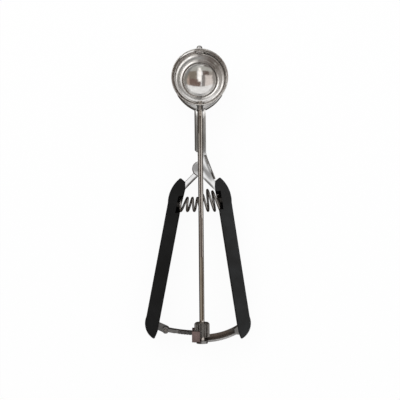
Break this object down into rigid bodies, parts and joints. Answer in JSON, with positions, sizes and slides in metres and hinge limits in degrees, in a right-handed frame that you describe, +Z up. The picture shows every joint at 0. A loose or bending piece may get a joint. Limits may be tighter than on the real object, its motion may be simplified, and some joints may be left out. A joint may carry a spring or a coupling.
{
  "type": "ice cream scoop",
  "caption": "Lever ice cream scoop: squeezing the left handle drives a rack and pinion that turns a rod and sweeps a curved scraper through a round bowl.",
  "frame": {"origin": "centre of the bottom of the bounding box, on the plane that the bowl's underside and the grips' backs rest on", "axes": "+Y along the rod towards the tip of the bowl, +Z up out of the bowl's mouth, +X to the fixed handle's side"},
  "size_m": [0.0752, 0.2102, 0.0257],
  "materials": {
    "frame_steel": "satin stainless steel",
    "bowl_steel": "mirror-polished stainless steel",
    "pin_steel": "plain turned steel",
    "bush_steel": "plain turned steel, darker",
    "grip_plastic": "fine-grained black moulding",
    "keeper_steel": "brown-toned steel strip",
    "spring_steel": "dark oil-tempered wire",
    "rack_steel": "satin steel, a little darker",
    "rod_steel": "drawn stainless rod, semi-bright",
    "gear_steel": "sintered steel, slightly brown",
    "scraper_steel": "thin satin spring steel"
  },
  "bodies": {
    "frame": {"fixed_frame": "frame_steel", "bowl": "bowl_steel", "bowl_cradle": "frame_steel", "tip_pin": "pin_steel", "front_bush": "bush_steel", "right_grip": "grip_plastic", "pivot_rivet": "pin_steel", "pivot_washer": "pin_steel", "right_spring_boss": "spring_steel", "tail_bush": "bush_steel", "rack_keeper": "keeper_steel", "keeper_rivet": "pin_steel", "spring": "spring_steel"},
    "lever": {"lever_frame": "frame_steel", "left_grip": "grip_plastic", "rack": "rack_steel", "rack_rivet": "pin_steel", "left_spring_boss": "spring_steel"},
    "scraper_rod": {"rod": "rod_steel", "pinion": "gear_steel", "scraper": "scraper_steel", "scraper_washer": "pin_steel"}
  },
  "joints": [
    {"name": "lever_squeeze", "type": "hinge", "parent": "frame", "child": "lever", "pos_m": [0.00285, 0.01785, 0.0129], "axis": [0, 0, 1], "range_deg": [0, 7], "stiffness_Nm_per_rad": 1.6, "springref_deg": -7.16, "deforming": ["spring"]},
    {"name": "rod_turn", "type": "hinge", "parent": "frame", "child": "scraper_rod", "pos_m": [0.00285, 0.01785, 0.019], "axis": [0, -1, 0], "range_deg": [0, 171]}
  ],
  "couplings": [
    {"joint": "rod_turn", "follows": "lever_squeeze", "ratio": 24.25}
  ]
}
